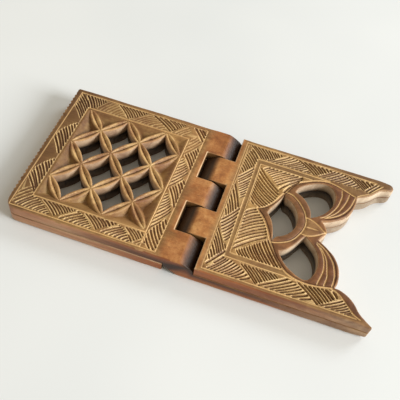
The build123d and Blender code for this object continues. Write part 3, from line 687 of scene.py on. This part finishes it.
def leaf_mesh(name, m):
    dist = m["dist"].copy()
    small = np.abs(dist) < 0.03
    dist[small] = np.where(dist[small] >= 0, 0.03, -0.03)
    ins = dist > 0
    ids = np.full((NX, NY), -1, int)
    ids[ins] = np.arange(ins.sum())
    vx, vy = list(GX[ins]), list(GY[ins])
    vh, vl = list(m["hi"][ins]), list(m["lo"][ins])
    n_node = len(vx)
    full = ins[:-1, :-1] & ins[1:, :-1] & ins[1:, 1:] & ins[:-1, 1:]
    some = (ins[:-1, :-1] | ins[1:, :-1] | ins[1:, 1:] | ins[:-1, 1:]) & ~full
    quads = np.stack([ids[:-1, :-1][full], ids[1:, :-1][full], ids[1:, 1:][full], ids[:-1, 1:][full]], 1)
    edge_ids = {}
    polys, walls = [], []
    ci, cj = np.nonzero(some)
    hi, lo = m["hi"], m["lo"]

    def edge_vertex(i0, j0, i1, j1):
        key = (i0, j0, i1, j1) if (i0, j0) < (i1, j1) else (i1, j1, i0, j0)
        if key in edge_ids:
            return edge_ids[key]
        if not ins[i0, j0]:
            i0, j0, i1, j1 = i1, j1, i0, j0
        a, b = dist[i0, j0], dist[i1, j1]
        t = a / (a - b)
        vx.append(XS[i0] + (XS[i1] - XS[i0]) * t)
        vy.append(YS[j0] + (YS[j1] - YS[j0]) * t)
        vh.append(hi[i0, j0] + (hi[i1, j1] - hi[i0, j0]) * t)
        vl.append(lo[i0, j0] + (lo[i1, j1] - lo[i0, j0]) * t)
        edge_ids[key] = len(vx) - 1
        return edge_ids[key]

    for i, j in zip(ci.tolist(), cj.tolist()):
        c = ((i, j), (i + 1, j), (i + 1, j + 1), (i, j + 1))
        poly, kind = [], []
        for k in range(4):
            a, b = c[k], c[(k + 1) % 4]
            if ins[a]:
                poly.append(int(ids[a]))
                kind.append(0)
            if ins[a] != ins[b]:
                poly.append(edge_vertex(*a, *b))
                kind.append(1 if ins[a] else 2)      # 1 leaves the wood, 2 enters it
        if len(poly) < 3:
            continue
        polys.append(poly)
        for k in range(len(poly)):
            if kind[k] == 1 and kind[(k + 1) % len(poly)] == 2:
                walls.append((poly[k], poly[(k + 1) % len(poly)]))
    n = len(vx)
    vx, vy, vh, vl = map(np.array, (vx, vy, vh, vl))
    rim = np.arange(n_node, n)
    rows = [np.stack([vx, vy, vh], 1), np.stack([vx, vy, vl], 1)]
    for f in WALL:
        rows.append(np.stack([vx[rim], vy[rim], vh[rim] * (1 - f) + vl[rim] * f], 1))
    verts = np.vstack(rows)
    nr = len(rim)
    loops, starts = [], []
    at = 0

    def add(arr):
        nonlocal at
        arr = np.asarray(arr)
        loops.append(arr.ravel())
        starts.append(at + np.arange(arr.shape[0]) * arr.shape[1])
        at += arr.size

    add(quads)
    add(quads[:, ::-1] + n)
    by_len = {}
    for p in polys:
        by_len.setdefault(len(p), []).append(p)
    for k, ps in sorted(by_len.items()):
        ps = np.array(ps)
        add(ps)
        add(ps[:, ::-1] + n)
    walls = np.array(walls)
    level = [walls]
    for k in range(len(WALL)):
        level.append(2 * n + k * nr + (walls - n_node))
    level.append(walls + n)
    for a, b in zip(level[:-1], level[1:]):
        add(np.stack([a[:, 1], a[:, 0], b[:, 0], b[:, 1]], 1))
    loops = np.concatenate(loops)
    starts = np.concatenate(starts)
    me = bpy.data.meshes.new(name)
    verts[:, 0] += SHIFT_X
    me.vertices.add(len(verts))
    me.vertices.foreach_set("co", (verts / 1000.0).astype(np.float32).ravel())
    me.loops.add(len(loops))
    me.loops.foreach_set("vertex_index", loops.astype(np.int32))
    me.polygons.add(len(starts))
    me.polygons.foreach_set("loop_start", starts.astype(np.int32))
    me.update(calc_edges=True)
    me.validate()
    return me


def reduced(me, name, faces):
    """The same surface with fewer faces, flat wood thinned first."""
    o = bpy.data.objects.new(name + "_tmp", me)
    bpy.context.scene.collection.objects.link(o)
    tris = sum(max(0, len(p.vertices) - 2) for p in me.polygons) if len(me.polygons) < 1000 else int(
        len(me.loops) - 2 * len(me.polygons))
    mod = o.modifiers.new("thin", "DECIMATE")
    mod.ratio = min(1.0, faces / tris)
    deps = bpy.context.evaluated_depsgraph_get()
    out = bpy.data.meshes.new_from_object(o.evaluated_get(deps))
    out.name = name
    bpy.data.objects.remove(o)
    bpy.data.meshes.remove(me)
    print(name, "triangles", tris, "->", len(out.polygons))
    return out


def smoothstep(a, b, x):
    t = np.clip((x - a) / (b - a), 0, 1)
    return t * t * (3 - 2 * t)


TREFOIL = [(50.5, 2.2), (59.5, 8.8), (66.4, 19.4), (72.9, 32.8), (80.1, 45.6), (92.6, 54.0), (105.0, 59.2),
           (118.0, 58.8), (130.0, 54.8), (141.5, 51.6), (143.0, 40.0), (139.0, 20.0), (124.0, 4.0), (124.0, -8.0),
           (139.0, -24.0), (142.0, -40.0), (138.0, -57.6), (124.0, -60.0), (112.0, -61.4), (100.0, -59.9),
           (88.3, -53.8), (79.5, -44.4), (70.1, -28.1), (64.5, -16.3), (57.0, -5.3)]
LEAFLET = [(97.0, 8.8), (105.6, 6.8), (113.1, 2.4), (118.6, -1.6), (113.8, -5.8), (105.0, -10.9), (97.0, -11.0)]


def paint(me, m, front):
    """Masks for the material at every face corner, read back from the carving maps."""
    nv, nl = len(me.vertices), len(me.loops)
    co = np.empty(nv * 3, np.float32)
    me.vertices.foreach_get("co", co)
    co = co.reshape(-1, 3).astype(float) * 1000.0
    vi = np.empty(nl, np.int32)
    me.loops.foreach_get("vertex_index", vi)
    ls = np.empty(len(me.polygons), np.int32)
    me.polygons.foreach_get("loop_start", ls)
    lt = np.empty(len(me.polygons), np.int32)
    me.polygons.foreach_get("loop_total", lt)
    fn = np.empty(len(me.polygons) * 3, np.float32)
    me.polygons.foreach_get("normal", fn)
    fn = np.repeat(fn.reshape(-1, 3), lt, axis=0)
    fc = np.repeat(np.arange(len(me.polygons)), lt)
    x, y, z = (co[:, 0] - SHIFT_X)[vi], co[:, 1][vi], co[:, 2][vi]
    # a point a little inside the face tells which wall it belongs to
    cx = np.bincount(fc, x) / lt
    cy = np.bincount(fc, y) / lt
    cx, cy = cx[fc], cy[fc]
    hi, lo = sample(m["hi"], x, y), sample(m["lo"], x, y)
    upper = z > (hi + lo) / 2
    left = x < 0
    on_hi = left if front else ~left
    top_c, bot_c = (panel_c, leg_c) if front else (leg_c, panel_c)
    carved = ((upper & on_hi) | (~upper & ~on_hi)) & (np.abs(x) > 15.5)

    def both(field):
        a = sample(getattr(top_c, field), x, y)
        b = sample(getattr(bot_c, field), x, y)
        return np.where(upper, a, b) * carved

    h, flute, area, line, vein, petal = (both(f) for f in ("h", "flute", "area", "line", "vein", "petal"))
    flat = np.abs(fn[:, 2]) > 0.40
    d_rim = sample(m["dist"], x, y)
    wall = (~flat) & (sample(m["dist"], cx, cy) < 0.45)
    face = 1.0 - wall
    # painted shade in the flute bottoms and petal veins, partly dark grime
    dark = np.maximum(smoothstep(0.36, 0.90, flute), smoothstep(0.58, 0.84, vein)) * face
    # painted highlight on the flute ridges and on the petal crests beside the veins
    ridge = np.maximum(area * (1 - smoothstep(0.03, 0.30, flute)),
                       petal * 0.62 * (1 - smoothstep(0.0, 0.24, np.abs(vein - 0.34)))) * face
    # pale fresh wood in the single cut lines, made paler as a painted highlight
    pale_line = smoothstep(0.10, 0.55, line) * (1 - 0.85 * area) * face
    # carving depth, used below for a painted highlight in the lattice's hollow half cells
    pit = smoothstep(1.6, 5.2, h) * face
    d_b, d_h, d_p = (sample(m[k], cx, cy) for k in ("d_board", "d_hole", "d_pocket"))
    near_p = (d_p < 0.6) & (d_p < d_b) & (d_p < d_h)
    near_b = (d_b < d_h) & ~near_p
    # painted shade on the cut walls: fraction of the way from the outer face to the split, the lower layer's walls kept
    # nearly all dark
    outer_z = np.where(on_hi, TOP, 0.0)
    depth = np.clip(np.abs(z - outer_z) / 11.2, 0, 1)
    under = ~on_hi
    depth = np.where(under, 0.86 + 0.14 * smoothstep(0.1, 0.7, depth), depth)
    # the sawn curves of the free end take the openings' wall colour, with their painted shade towards the split reduced
    sawn = near_b & (x > 96) & (np.abs(cy) < 80.5)
    depth = np.where(sawn, depth * 0.75, depth)
    hole_wall = wall * ~near_p * (~near_b | sawn)
    outer_wall = wall * near_b * ~sawn
    pocket_wall = wall * near_p
    knuckle = smoothstep(20.5, 15.5, np.abs(x)) * face
    sx = x if front else -x
    reach = 7.0 if front else 5.0
    # painted shade on the hinge's turned-under slopes, the slot and the pocket walls
    hinge_shade = np.where(upper, smoothstep(-0.6, reach, sx), smoothstep(-0.6, reach, -sx)) * (np.abs(x) < 14.8)
    hinge_shade = np.maximum(hinge_shade, pocket_wall * smoothstep(0.3, 3.0, np.abs(z - outer_z)))
    worn = smoothstep(2.2, 0.3, d_rim) * face * carved
    worn = np.maximum(worn, smoothstep(1.5, 0.3, sample(m["d_pocket"], x, y)) * face * (z > AXIS_Z - 20))
    nick = (sample(d_nick, cx, cy) < 0.45) * wall * (x < -165)
    worn = np.maximum(worn, nick)
    inner = smoothstep(0.8, 3.0, d_rim) * (~carved) * (np.abs(x) > 15.2) * face
    # painted shade: the inner faces round the holes go near black like the deepest walls
    lip = (1 - smoothstep(0.8, 3.0, sample(m["d_hole"], x, y))) * (~carved) * (np.abs(x) > 15.2) * face
    hole_wall = np.maximum(hole_wall, lip)
    depth = np.where(lip > 0.02, 1.0, depth)
    band = inside(TREFOIL, x, y).astype(float) * carved * face
    band *= 1 - 0.7 * inside(LEAFLET, x, y)
    foot = inside([(137.0, -57.0), (150.0, -69.0), (160.0, -77.5), (176.0, -79.5), (176.0, -70.0), (150.0, -55.0)], x, y)
    foot = (foot & (smoothstep(0.0, 1.0, d_rim) > 0) & (area < 0.3)).astype(float) * face * 0.8
    band = np.maximum(band, foot)
    tips = smoothstep(118.0, 150.0, x) * smoothstep(7.5, 4.0, d_rim) * (area < 0.2) * carved * ~wall
    lobes = (inside(TREFOIL, x, y) & (((np.abs(y - 34) < 20) & (x > 110)) | ((np.abs(y + 38) < 24) & (x > 110)))) * carved
    strip = (((x > 35.8) & (x < 39.9) & (np.abs(y) < 61)) | ((x > 39) & (x < 95) & (np.abs(y - 0.4) > 55.5) & (np.abs(y - 0.4) < 61.2))) * carved
    one = np.ones(nl)
    tone = np.interp(x, [-171, -150, -110, -30, -15, 15, 22, 60, 100, 140, 175], [0.14, 0.22, 0.50, 0.84, 0.60, 0.60, 0.78, 0.74, 0.62, 0.46, 0.42])
    tone = tone + 0.30 * ((x > 40) & (x < 72) & (y > 0) & (y < 54)) + 0.12 * ((x > 40) & (x < 72) & (y <= 0)) + 0.14 * ((x > -38) & (x < -15))
    tone = tone - 0.13 * ((x > 18) & (y > 60)) - 0.10 * ((x < -149.5) & carved)
    tone = tone - 0.10 * smoothstep(20, 80, y) - 0.10 * smoothstep(3.4, 2.4, d_rim) * ~wall - 0.34 * strip - 0.16 * lobes - 0.16 * (foot > 0)
    lattice = inside([(-148.5, -62), (-38.5, -62), (-38.5, 59), (-148.5, 59)], x, y) * (carved | wall)
    # painted highlight along the pocket edges, partly wear on the arris
    pocket_edge_highlight = smoothstep(1.0, 0.3, sample(m["d_pocket"], x, y)) * face * upper * (np.abs(x) > 14.0)
    # long thin faces must not smear a mask from one corner across plain wood
    nxt = np.arange(nl) + 1
    last = (ls + lt - 1)
    nxt[last] = ls
    edge = np.hypot(np.hypot(x[nxt] - x, y[nxt] - y), z[nxt] - z)
    longest = np.maximum.reduceat(edge, ls)
    big = np.repeat(longest > 1.5, lt)

    def least(v):
        v = np.asarray(v, float)
        return np.where(big, np.repeat(np.minimum.reduceat(v, ls), lt), v)

    plain_in = ~((upper & on_hi) | (~upper & ~on_hi)) & (np.abs(cx) > 15.2) & ~wall
    lip = least(lip)
    hole_wall = np.where(plain_in, lip, hole_wall)
    depth = np.where(plain_in, (lip > 0.02).astype(float), depth)
    knuckle = np.where(plain_in, least(knuckle), knuckle)
    tone = np.where(plain_in, 0.5, tone)
    lattice = lattice * ~plain_in
    hinge_shade = np.where(plain_in, 0.0, hinge_shade)
    ridge, dark = least(ridge), least(dark)
    petal, worn, inner = least(petal * face), least(worn), least(inner)
    grime = outer_wall * smoothstep(92, 150, x)
    for nm, cols in (
        ("carve", (dark, ridge, pale_line, one)),
        ("walls", (hole_wall, outer_wall, depth, one)),
        ("zone", (knuckle, band, hinge_shade, one)),
        ("state", (worn, inner, pit, one)),
        ("tone", (tone, lattice, petal, one)),
        ("shade", (np.maximum(least(np.maximum(lobes, foot > 0)), 0.6 * tips), pocket_edge_highlight, grime, one)),
    ):
        at = me.attributes.new(nm, "FLOAT_COLOR", "CORNER")
        at.data.foreach_set("color", np.stack([np.asarray(c, float) for c in cols], 1).astype(np.float32).ravel())


# ---------------------------------------------------------------- material
class Nodes:
    def __init__(self, name):
        self.mat = bpy.data.materials.new(name)
        self.mat.use_nodes = True
        self.t = self.mat.node_tree
        self.t.nodes.clear()

    def new(self, kind, **props):
        n = self.t.nodes.new(kind)
        for k, v in props.items():
            setattr(n, k, v)
        return n

    def link(self, a, b):
        self.t.links.new(a, b)

    def mix(self, fac, a, b, blend="MIX"):
        n = self.new("ShaderNodeMix", data_type="RGBA", blend_type=blend)
        n.clamp_factor = True
        for sock, val in ((n.inputs[0], fac), (n.inputs[6], a), (n.inputs[7], b)):
            if hasattr(val, "links"):
                self.link(val, sock)
            else:
                sock.default_value = val
        return n.outputs[2]

    def math(self, op, a, b=None, clamp=False):
        n = self.new("ShaderNodeMath", operation=op, use_clamp=clamp)
        for sock, val in zip(n.inputs, (a, b)):
            if val is None:
                continue
            if hasattr(val, "links"):
                self.link(val, sock)
            else:
                sock.default_value = val
        return n.outputs[0]

    def ramp(self, fac, stops):
        n = self.new("ShaderNodeValToRGB")
        self.link(fac, n.inputs[0])
        el = n.color_ramp.elements
        el[0].position, el[0].color = stops[0]
        el[1].position, el[1].color = stops[1]
        for p, c in stops[2:]:
            e = el.new(p)
            e.color = c
        return n.outputs[0]

    def noise(self, vec, scale, detail=4.0, rough=0.55, distortion=0.0):
        n = self.new("ShaderNodeTexNoise")
        self.link(vec, n.inputs["Vector"])
        n.inputs["Scale"].default_value = scale
        n.inputs["Detail"].default_value = detail
        n.inputs["Roughness"].default_value = rough
        n.inputs["Distortion"].default_value = distortion
        return n.outputs["Fac"]


def wood(name, offset, warm):
    g = Nodes(name)
    tc = g.new("ShaderNodeTexCoord")
    mp = g.new("ShaderNodeMapping")
    mp.inputs["Location"].default_value = offset
    mp.inputs["Scale"].default_value = (1.0, 1.0, 1.0)
    g.link(tc.outputs["Object"], mp.inputs["Vector"])
    vec = mp.outputs["Vector"]
    along = g.new("ShaderNodeMapping")
    along.inputs["Scale"].default_value = (0.10, 1.0, 1.0)
    g.link(vec, along.inputs["Vector"])
    fibre = along.outputs["Vector"]

    def attr(n):
        a = g.new("ShaderNodeAttribute", attribute_name=n)
        s = g.new("ShaderNodeSeparateColor")
        g.link(a.outputs["Color"], s.inputs["Color"])
        return s.outputs

    carve, walls, zone, state, tones, shade = (attr(n) for n in ("carve", "walls", "zone", "state", "tone", "shade"))
    cav, ridge, line = carve[0], carve[1], carve[2]
    hole_wall, outer_wall, depth = walls[0], walls[1], walls[2]
    knuckle, band, hinge_shade = zone[0], zone[1], zone[2]
    worn, inner, pit = state[0], state[1], state[2]

    grain = g.noise(fibre, 420.0, 6.0, 0.62, 0.4)
    rings = g.noise(fibre, 90.0, 3.0, 0.5, 1.2)
    blotch = g.noise(vec, 16.0, 3.0, 0.55)
    mottle = g.noise(vec, 75.0, 5.0, 0.65, 0.6)
    fine = g.noise(vec, 900.0, 3.0, 0.6)
    pores = g.noise(fibre, 1500.0, 2.0, 0.7)
    sep = g.new("ShaderNodeSeparateXYZ")
    g.link(tc.outputs["Object"], sep.inputs[0])
    at_x = sep.outputs[0]

    base = g.ramp(grain, [(0.34, srgb(88, 58, 30)), (0.66, srgb(176, 134, 84)), (0.5, srgb(134, 97, 57))])
    ringc = g.ramp(rings, [(0.35, srgb(112, 78, 44)), (0.65, srgb(166, 128, 80))])
    base = g.mix(0.42, base, ringc)
    gold = g.ramp(blotch, [(0.36, srgb(128, 84, 56)), (0.66, srgb(164, 130, 74))])
    base = g.mix(0.45, base, gold)
    redder = g.ramp(mottle, [(0.42, srgb(104, 58, 34)), (0.62, srgb(166, 126, 80))])
    base = g.mix(0.32, base, redder)
    base = g.mix(1.0, base, g.ramp(tones[0], [(0.0, (0.58, 0.55, 0.50, 1)), (1.0, (1.52, 1.58, 1.46, 1))]), "MULTIPLY")
    # petals a little redder in places, golden in others, and lightened as a painted highlight on the raised petals
    petalc = g.ramp(g.noise(vec, 42.0, 4.0, 0.6), [(0.36, srgb(132, 84, 54)), (0.50, srgb(172, 130, 82)), (0.62, srgb(216, 178, 120))])
    base = g.mix(g.math("MULTIPLY", tones[2], 0.8), base, petalc)
    # plain, handled wood of the hinge
    scuff = g.noise(vec, 55.0, 8.0, 0.7)
    plain = g.ramp(scuff, [(0.30, srgb(116, 60, 28)), (0.50, srgb(172, 108, 58)), (0.68, srgb(210, 150, 92))])
    scratch = g.ramp(g.noise(vec, 95.0, 1.5, 0.5, 2.4), [(0.480, (0, 0, 0, 1)), (0.520, (0, 0, 0, 1)), (0.500, (1, 1, 1, 1))])
    plain = g.mix(g.math("MULTIPLY", scratch, 0.34), plain, srgb(92, 46, 22))
    if warm:
        plain = g.mix(1.0, plain, (1.22, 1.34, 1.38, 1), "MULTIPLY")
    col = g.mix(g.math("MULTIPLY", knuckle, 0.82), base, plain)
    # reddish bands round the openings
    bandc = g.ramp(mottle, [(0.32, srgb(82, 44, 22)), (0.66, srgb(142, 88, 50))])
    col = g.mix(g.math("MULTIPLY", band, 0.72), col, bandc)
    col = g.mix(g.math("MULTIPLY", shade[0], 0.8), col, (0.70, 0.58, 0.42, 1), "MULTIPLY")
    # painted highlight along the pocket edges
    col = g.mix(g.math("MULTIPLY", shade[1], g.math("MULTIPLY", mottle, 1.5), clamp=True), col, srgb(240, 212, 172))
    # plain inner faces, never polished
    raw = g.ramp(grain, [(0.30, srgb(120, 92, 58)), (0.70, srgb(168, 138, 94))])
    col = g.mix(g.math("MULTIPLY", inner, 0.7), col, raw)
    # worn arrises
    wfac = g.math("MULTIPLY", worn, g.math("MULTIPLY", mottle, 1.0), clamp=True)
    col = g.mix(g.math("MULTIPLY", wfac, 0.75), col, srgb(206, 160, 112))
    # carving: pale fresh wood in single lines with a painted highlight, painted highlight on the ridges, painted shade
    # with some dark grime at the bottom of the flutes and veins
    col = g.mix(g.math("MULTIPLY", line, 0.86), col, srgb(234, 194, 134))
    ridge_highlight_fac = g.math("MULTIPLY", ridge, g.math("ADD", g.math("MULTIPLY", mottle, 0.7), 0.48), clamp=True)
    col = g.mix(ridge_highlight_fac, col, srgb(254, 218, 154))
    groove_shade_fac = g.math("MULTIPLY", cav, g.math("ADD", g.math("MULTIPLY", blotch, 0.5), 0.68), clamp=True)
    col = g.mix(groove_shade_fac, col, srgb(76, 40, 12))
    # painted highlight: the lattice's deep half cells lightened to gold
    hollow_highlight = g.ramp(g.noise(vec, 30.0, 3.0, 0.6), [(0.42, srgb(120, 84, 48)), (0.56, srgb(222, 188, 122))])
    col = g.mix(g.math("MULTIPLY", g.math("MULTIPLY", tones[1], pit), 0.45), col, hollow_highlight)
    # outer sides: redder near the hinge, greyer towards the ends
    side = g.ramp(rings, [(0.30, srgb(126, 64, 32)), (0.5, srgb(160, 88, 44)), (0.72, srgb(192, 116, 62))])
    ends = g.ramp(rings, [(0.30, srgb(152, 98, 66)), (0.5, srgb(188, 134, 98)), (0.72, srgb(216, 172, 134))])
    far_out = g.math("MULTIPLY", g.math("SUBTRACT", g.math("ABSOLUTE", g.math("SUBTRACT", at_x, 0.03)), 0.05), 14.0, clamp=True)
    side = g.mix(far_out, side, ends)
    col = g.mix(g.math("MULTIPLY", outer_wall, 0.88), col, side)
    dirt = g.ramp(mottle, [(0.36, srgb(86, 68, 48)), (0.62, srgb(164, 138, 104))])
    col = g.mix(g.math("MULTIPLY", shade[2], 0.62), col, dirt)
    # cut walls of the openings: pale by the face, raw cut wood with a painted highlight, then painted shade to near
    # black towards the split
    pale = g.ramp(mottle, [(0.30, srgb(180, 150, 122)), (0.62, srgb(224, 202, 174))])
    brown = g.ramp(mottle, [(0.30, srgb(146, 112, 88)), (0.62, srgb(206, 176, 144))])
    pale = g.mix(tones[1], pale, brown)
    split_shade = g.math("POWER", depth, 2.8)
    wallc = g.mix(split_shade, pale, srgb(8, 4, 2))
    col = g.mix(g.math("MULTIPLY", hole_wall, 0.96), col, wallc)
    # painted shade on the hinge's turned-under parts, the slot and the pocket walls
    col = g.mix(g.math("MULTIPLY", hinge_shade, 0.92), col, srgb(22, 10, 5))
    # pores
    pore = g.ramp(pores, [(0.30, (1, 1, 1, 1)), (0.40, (0, 0, 0, 1))])
    col = g.mix(g.math("MULTIPLY", pore, 0.34), col, srgb(66, 38, 18))

    rough = g.math("ADD", g.math("MULTIPLY", fine, 0.22), 0.42)
    rough = g.math("SUBTRACT", rough, g.math("MULTIPLY", knuckle, 0.12))
    rough = g.math("ADD", rough, g.math("MULTIPLY", cav, 0.25), clamp=True)

    hgt = g.math("ADD", g.math("MULTIPLY", grain, 0.5), g.math("MULTIPLY", fine, 0.22))
    hgt = g.math("ADD", hgt, g.math("MULTIPLY", mottle, 0.5))
    hgt = g.math("SUBTRACT", hgt, g.math("MULTIPLY", pore, 0.25))
    bump = g.new("ShaderNodeBump")
    bump.inputs["Strength"].default_value = 0.55
    bump.inputs["Distance"].default_value = 0.0006
    g.link(hgt, bump.inputs["Height"])

    bsdf = g.new("ShaderNodeBsdfPrincipled")
    g.link(col, bsdf.inputs["Base Color"])
    g.link(rough, bsdf.inputs["Roughness"])
    g.link(bump.outputs["Normal"], bsdf.inputs["Normal"])
    bsdf.inputs["IOR"].default_value = 1.46
    bsdf.inputs["Specular IOR Level"].default_value = 0.5
    out = g.new("ShaderNodeOutputMaterial")
    g.link(bsdf.outputs[0], out.inputs["Surface"])
    return g.mat


# ---------------------------------------------------------------- build
FACES = 190000
for name, front, body, cad in (("front_leaf_carved", True, "front_leaf", "front_leaf"),
                               ("back_leaf_carved", False, "back_leaf", "back_leaf")):
    maps = leaf_maps(front)
    me = leaf_mesh(name, maps)
    me = reduced(me, name, FACES)
    for p in ("use_smooth",):
        me.polygons.foreach_set(p, np.ones(len(me.polygons), bool))
    me.set_sharp_from_angle(angle=math.radians(38))
    paint(me, maps, front)
    me.materials.append(wood(name + "_wood", (0.31, 0.07, 0.0) if front else (1.73, 0.52, 0.2), not front))
    ob = bpy.data.objects.new(name, me)
    bpy.context.scene.collection.objects.link(ob)
    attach(ob, body)
    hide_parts(cad)

# ---------------------------------------------------------------- floor
bpy.ops.mesh.primitive_plane_add(size=6.0, location=(0, 0, 0))
floor = bpy.context.active_object
floor.name = "floor"
fm = Nodes("floor_paper")
ftc = fm.new("ShaderNodeTexCoord")
fn = fm.noise(ftc.outputs["Object"], 3.0, 2.0)
fcol = fm.ramp(fn, [(0.3, srgb(226, 230, 232)), (0.7, srgb(236, 239, 240))])
fb = fm.new("ShaderNodeBsdfPrincipled")
fm.link(fcol, fb.inputs["Base Color"])
fb.inputs["Roughness"].default_value = 0.9
fo = fm.new("ShaderNodeOutputMaterial")
fm.link(fb.outputs[0], fo.inputs["Surface"])
floor.data.materials.append(fm.mat)


# ---------------------------------------------------------------- lights
def area(name, loc, target, size, power, color=(1, 1, 1)):
    l = bpy.data.lights.new(name, "AREA")
    l.shape = "DISK"
    l.size = size
    l.energy = power
    l.color = color
    o = bpy.data.objects.new(name, l)
    o.location = loc
    o.rotation_euler = (Vector(target) - Vector(loc)).to_track_quat("-Z", "Y").to_euler()
    bpy.context.scene.collection.objects.link(o)
    return o


area("key", (4.6, -0.6, 2.2), (0, 0, 0), 2.2, 300.0, (0.96, 0.985, 1.0))
area("window", (2.6, 3.0, 2.8), (0, 0, 0), 2.0, 70.0, (0.90, 0.95, 1.0))

world = bpy.data.worlds.new("studio")
bpy.context.scene.world = world
world.use_nodes = True
world.node_tree.nodes["Background"].inputs[0].default_value = (1.0, 0.90, 0.72, 1)
world.node_tree.nodes["Background"].inputs[1].default_value = 0.46

# ---------------------------------------------------------------- camera
cam = bpy.data.cameras.new("camera")
cam.sensor_fit = "HORIZONTAL"
cam.sensor_width = 36.0
cam.lens = 52.416
cam.clip_start = 0.01
co = bpy.data.objects.new("camera", cam)
bpy.context.scene.collection.objects.link(co)
bpy.context.scene.camera = co
m4 = Matrix((
    (0.946198, -0.304907, 0.108358, 0.054679),
    (0.308638, 0.749765, -0.585316, -0.334586),
    (0.097224, 0.587268, 0.803532, 0.468281),
    (0.000000, 0.000000, 0.000000, 1.000000),
))
co.matrix_world = m4

bpy.context.scene.view_settings.view_transform = "Standard"
bpy.context.scene.view_settings.look = "None"
bpy.context.scene.view_settings.exposure = 0.0

bpy.context.view_layer.update()
